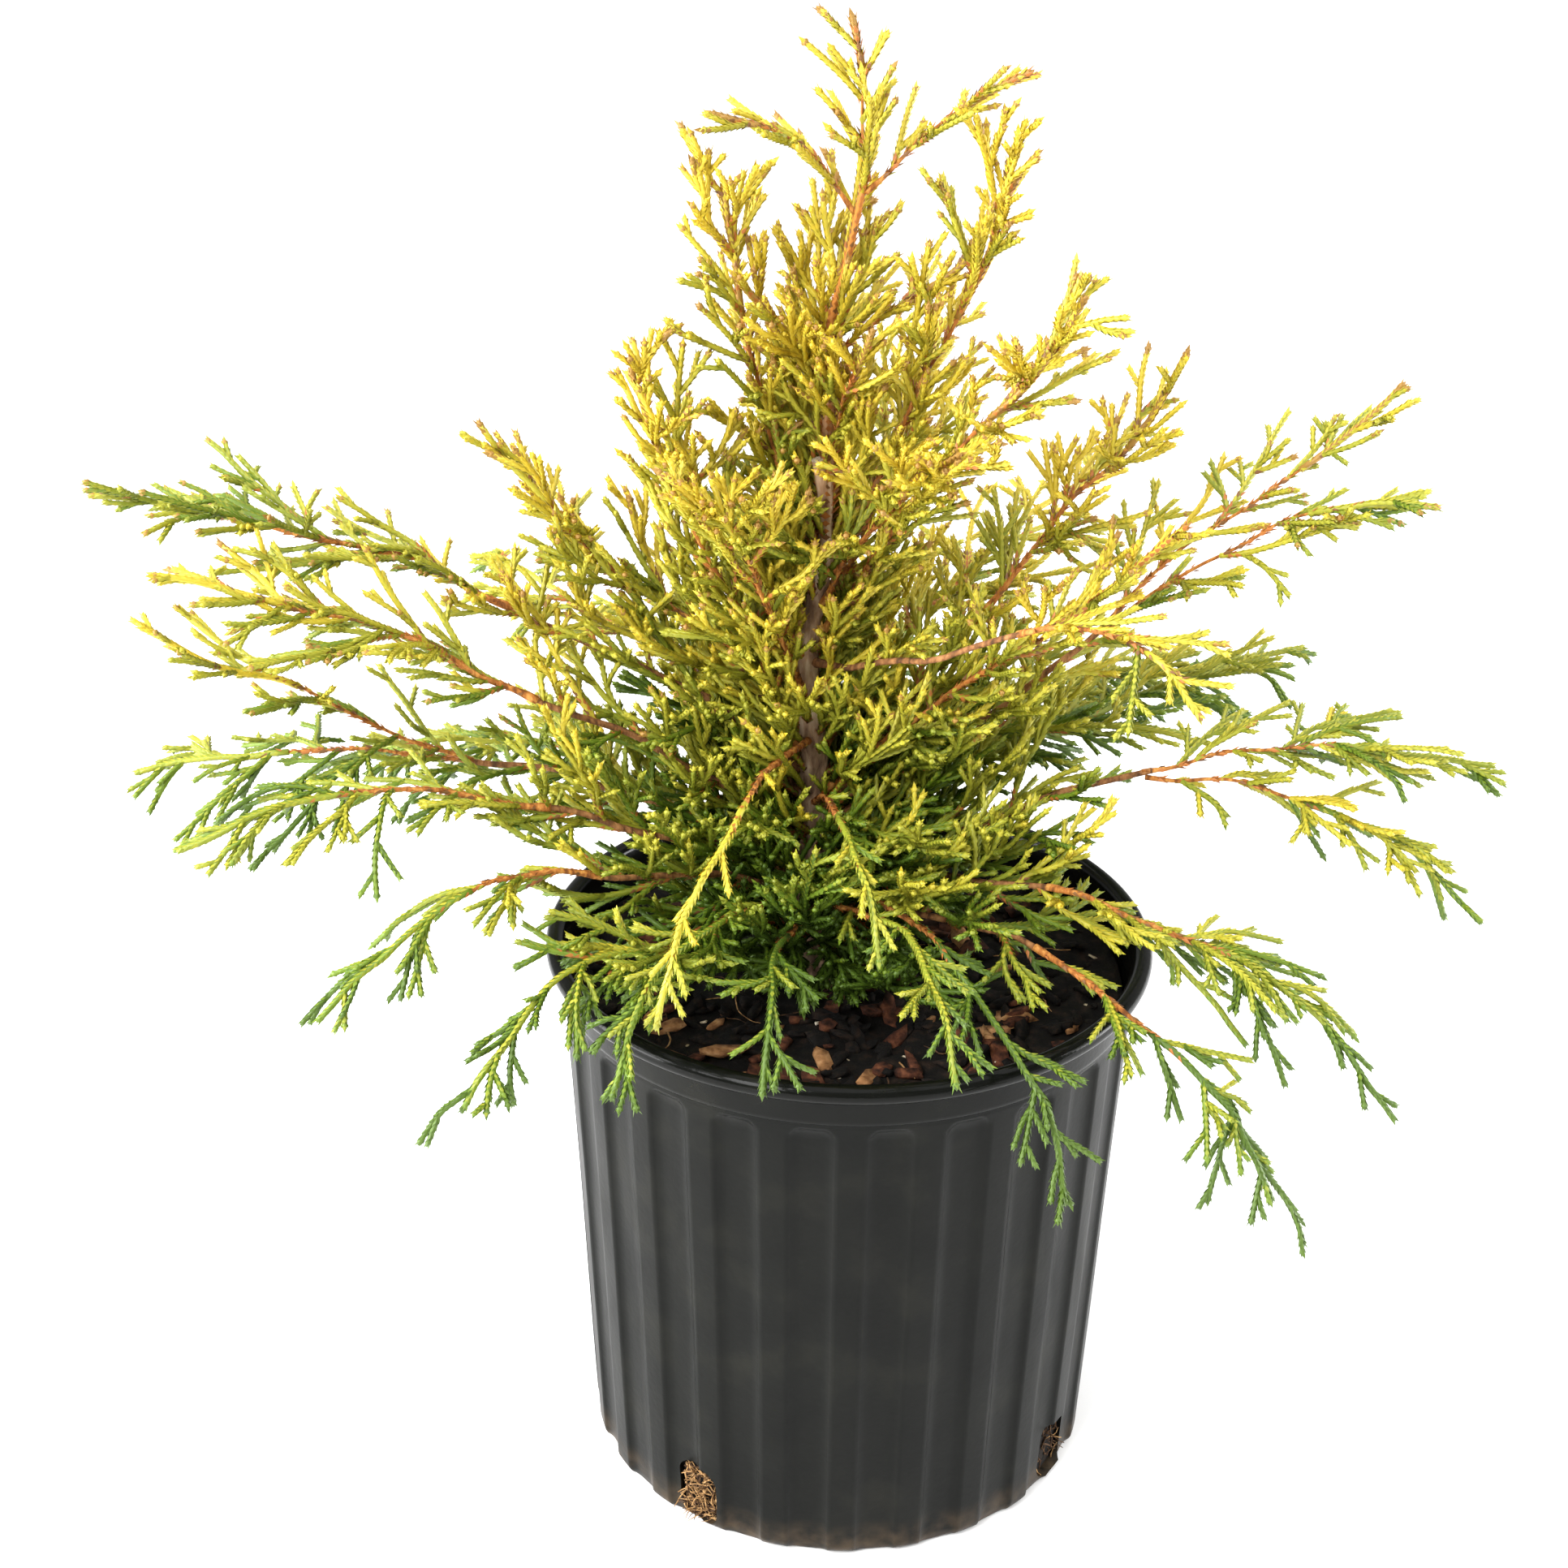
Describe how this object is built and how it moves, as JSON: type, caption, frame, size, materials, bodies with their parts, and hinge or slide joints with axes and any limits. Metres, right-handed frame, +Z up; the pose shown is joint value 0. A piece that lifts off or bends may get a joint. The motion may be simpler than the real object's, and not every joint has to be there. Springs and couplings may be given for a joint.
{
  "type": "potted sawara cypress",
  "caption": "Young threadleaf conifer with a short trunk, arching boughs and drooping cord-like golden foliage, standing in a round fluted nursery pot.",
  "frame": {"origin": "middle of the flat underside of the pot, where the plant stands on a level surface", "axes": "+Z up along the pot's axis and the trunk, -Y towards the front that the picture shows, +X to its right"},
  "size_m": [0.4977, 0.3546, 0.558],
  "materials": {
    "pot_plastic": "satin black",
    "potting_mix": "rough damp bark mix",
    "bark": "rough grey-brown to russet bark",
    "golden_foliage": "satin golden yellow",
    "lime_foliage": "satin yellow-green",
    "green_foliage": "satin mid green"
  },
  "bodies": {
    "root": {"bough_back_left": "bark", "bough_back_low": "bark", "bough_left_high": "bark", "bough_left_low": "bark", "bough_left_middle": "bark", "bough_left_skirt": "bark", "bough_left_spray": "bark", "bough_right_brown": "bark", "bough_right_drape": "bark", "bough_right_high": "bark", "bough_right_middle": "bark", "bough_right_skirt": "bark", "bough_right_upright": "bark", "foliage_back": "lime_foliage", "foliage_back_left": "lime_foliage", "foliage_back_left_low": "green_foliage", "foliage_back_low": "green_foliage", "foliage_back_right": "lime_foliage", "foliage_back_right_low": "green_foliage", "foliage_back_upper": "golden_foliage", "foliage_crown_left": "golden_foliage", "foliage_crown_right": "golden_foliage", "foliage_crown_right_front": "golden_foliage", "foliage_front_high": "green_foliage", "foliage_front_left_drape": "green_foliage", "foliage_front_left_whip": "green_foliage", "foliage_front_low_left": "green_foliage", "foliage_front_low_right": "green_foliage", "foliage_front_right_drape": "green_foliage", "foliage_front_upper_left": "golden_foliage", "foliage_front_upper_right": "golden_foliage", "foliage_leader_back": "golden_foliage", "foliage_leader_front": "golden_foliage", "foliage_leader_left": "golden_foliage", "foliage_leader_right": "golden_foliage", "foliage_left_drape": "green_foliage", "foliage_left_fork": "lime_foliage", "foliage_left_high": "lime_foliage", "foliage_left_low": "lime_foliage", "foliage_left_middle": "lime_foliage", "foliage_left_shoulder": "golden_foliage", "foliage_left_skirt": "green_foliage", "foliage_left_spray": "lime_foliage", "foliage_left_upright": "golden_foliage", "foliage_right_back": "lime_foliage", "foliage_right_brown": "lime_foliage", "foliage_right_drape": "green_foliage", "foliage_right_high": "golden_foliage", "foliage_right_low": "green_foliage", "foliage_right_middle": "lime_foliage", "foliage_right_outer": "golden_foliage", "foliage_right_shoulder": "golden_foliage", "foliage_right_skirt": "green_foliage", "foliage_right_upright": "golden_foliage", "foliage_top": "golden_foliage", "foliage_top_left": "golden_foliage", "foliage_top_right": "golden_foliage", "pot": "pot_plastic", "soil": "potting_mix", "trunk": "bark"}
  },
  "joints": []
}
